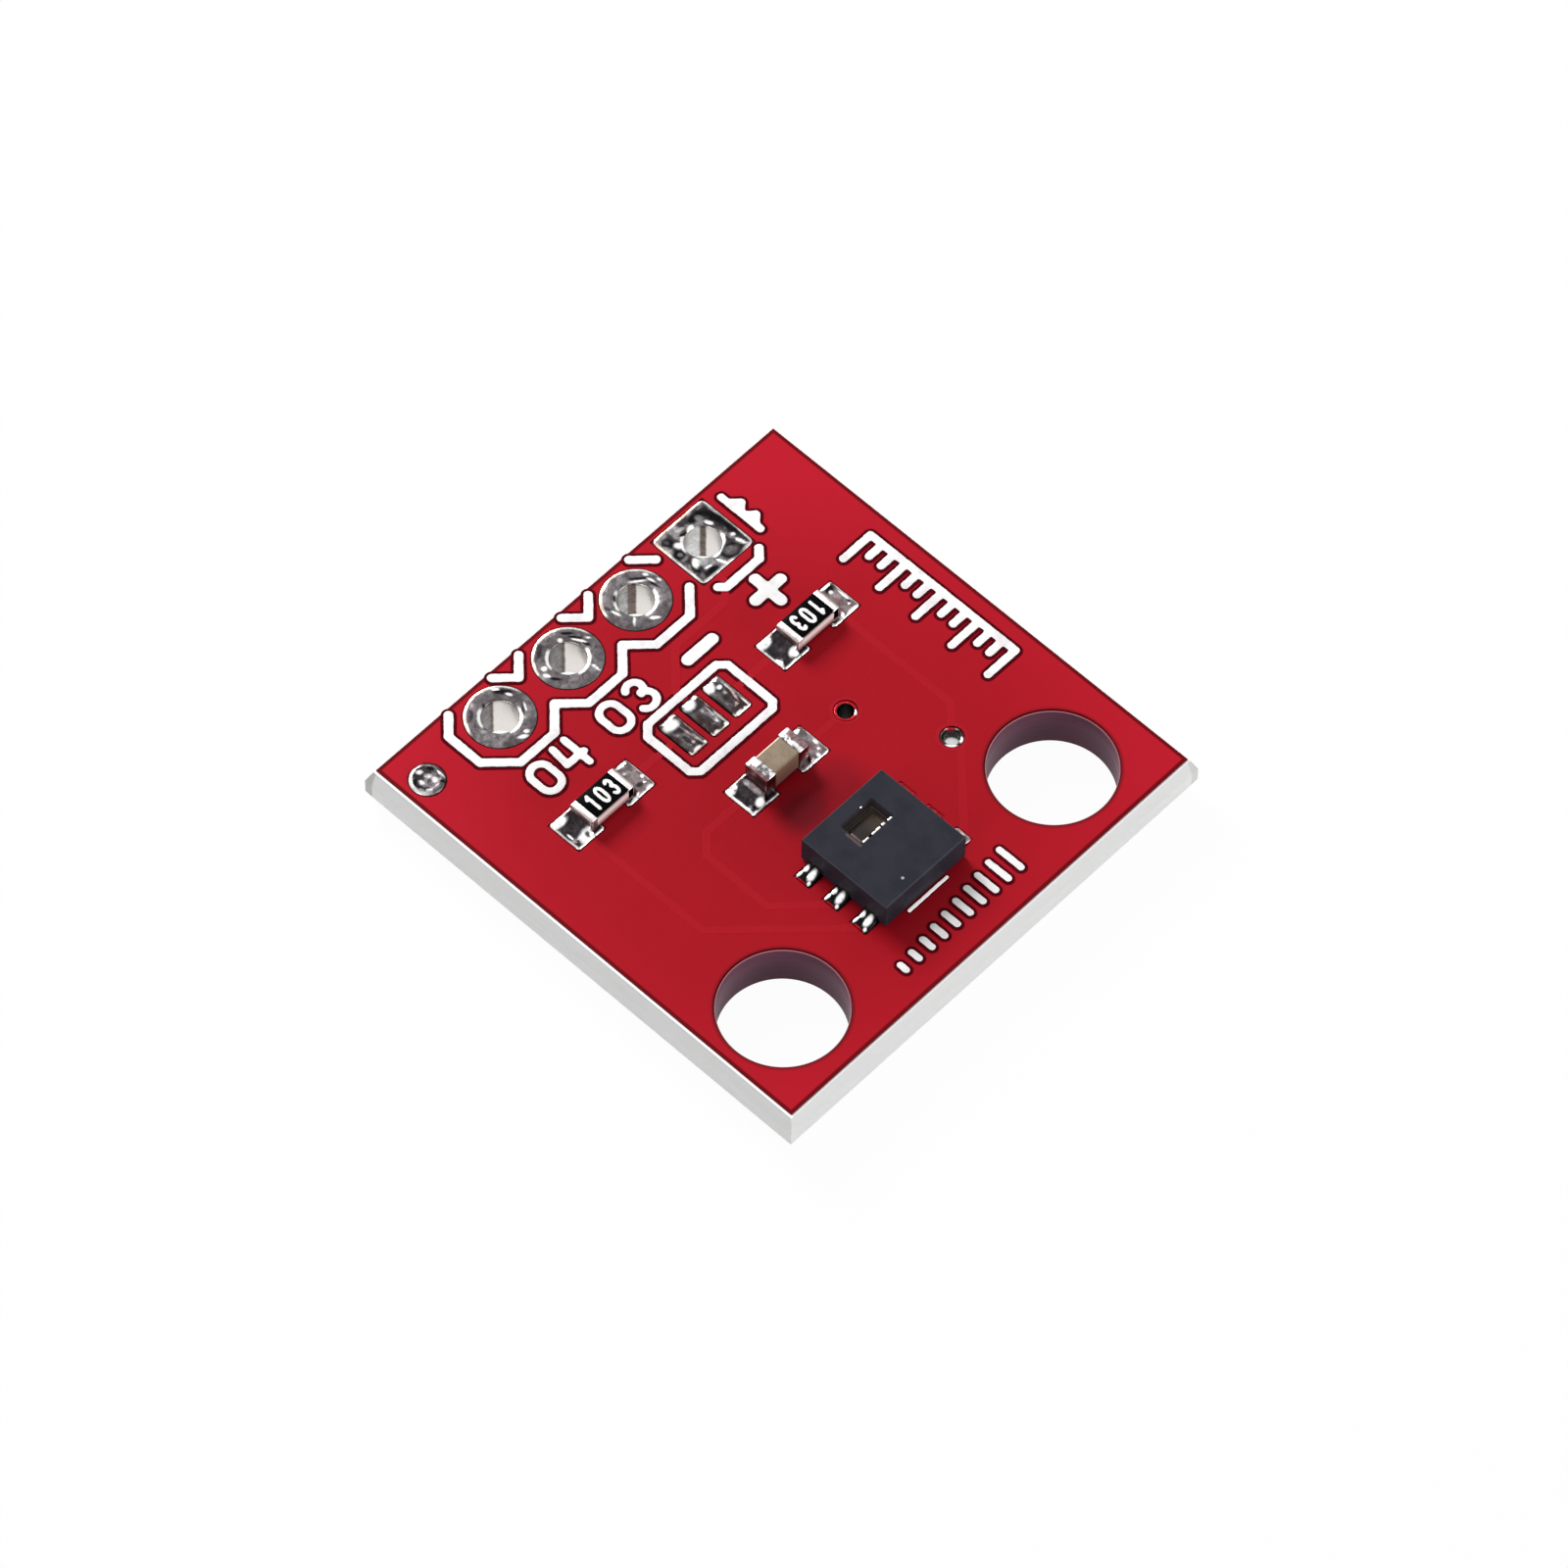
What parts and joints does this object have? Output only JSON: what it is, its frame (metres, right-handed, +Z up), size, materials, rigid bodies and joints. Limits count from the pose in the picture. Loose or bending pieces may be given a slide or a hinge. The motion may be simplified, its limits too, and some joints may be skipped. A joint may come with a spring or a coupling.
{
  "type": "temperature humidity sensor module",
  "caption": "Square red circuit board with a moulded humidity and temperature sensor, chip resistors, a capacitor, a solder jumper, a header row and mounting holes.",
  "frame": {"origin": "under the middle of the board, on the surface that its lowest pads stand on", "axes": "+Z up through the parts' side of the board, +Y towards the header row, +X along the header row towards pin 1"},
  "size_m": [0.0154, 0.0154, 0.0024],
  "materials": {
    "laminate": "pale glass-epoxy laminate with snapped edges",
    "solder_mask": "red satin solder mask",
    "tinned_copper": "uneven hot tinned copper",
    "solder": "bright reflowed solder",
    "tin_plating": "satin tin plating",
    "chip_ceramic": "matt fired alumina",
    "black_glaze": "black overglaze",
    "capacitor_ceramic": "tan fired ceramic",
    "sensor_moulding": "fine-grained dark moulding",
    "sensing_element": "brown polymer film",
    "legend_ink": "white printed ink"
  },
  "bodies": {
    "root": {"board_laminate": "laminate", "solder_mask_top": "solder_mask", "solder_mask_bottom": "solder_mask", "header_pad_1": "tinned_copper", "header_pad_2": "tinned_copper", "header_pad_3": "tinned_copper", "header_pad_4": "tinned_copper", "via_ground": "tinned_copper", "via_data": "tinned_copper", "corner_pad": "solder", "jumper_pad_left": "solder", "jumper_pad_middle": "solder", "jumper_pad_right": "solder", "resistor_left_core": "chip_ceramic", "resistor_left_glaze": "black_glaze", "resistor_left_band_a": "tin_plating", "resistor_left_band_b": "tin_plating", "resistor_left_solder_a": "solder", "resistor_left_solder_b": "solder", "resistor_right_core": "chip_ceramic", "resistor_right_glaze": "black_glaze", "resistor_right_band_a": "tin_plating", "resistor_right_band_b": "tin_plating", "resistor_right_solder_a": "solder", "resistor_right_solder_b": "solder", "capacitor_body": "capacitor_ceramic", "capacitor_band_a": "tin_plating", "capacitor_band_b": "tin_plating", "capacitor_solder_a": "solder", "capacitor_solder_b": "solder", "sensor_housing": "sensor_moulding", "sensor_element": "sensing_element", "sensor_thermal_pad": "tin_plating", "sensor_lead_1": "tin_plating", "sensor_lead_2": "tin_plating", "sensor_lead_3": "tin_plating", "sensor_lead_4": "tin_plating", "sensor_lead_5": "tin_plating", "sensor_lead_6": "tin_plating", "sensor_solder_1": "solder", "sensor_solder_2": "solder", "sensor_solder_3": "solder", "sensor_solder_4": "solder", "sensor_solder_5": "solder", "sensor_solder_6": "solder", "legend_header_outline": "legend_ink", "legend_chevron_left": "legend_ink", "legend_chevron_middle": "legend_ink", "legend_stroke_right": "legend_ink", "legend_pin_mark": "legend_ink", "legend_pin_bar": "legend_ink", "legend_jumper_frame": "legend_ink", "legend_sensor_bar": "legend_ink"}
  },
  "joints": []
}
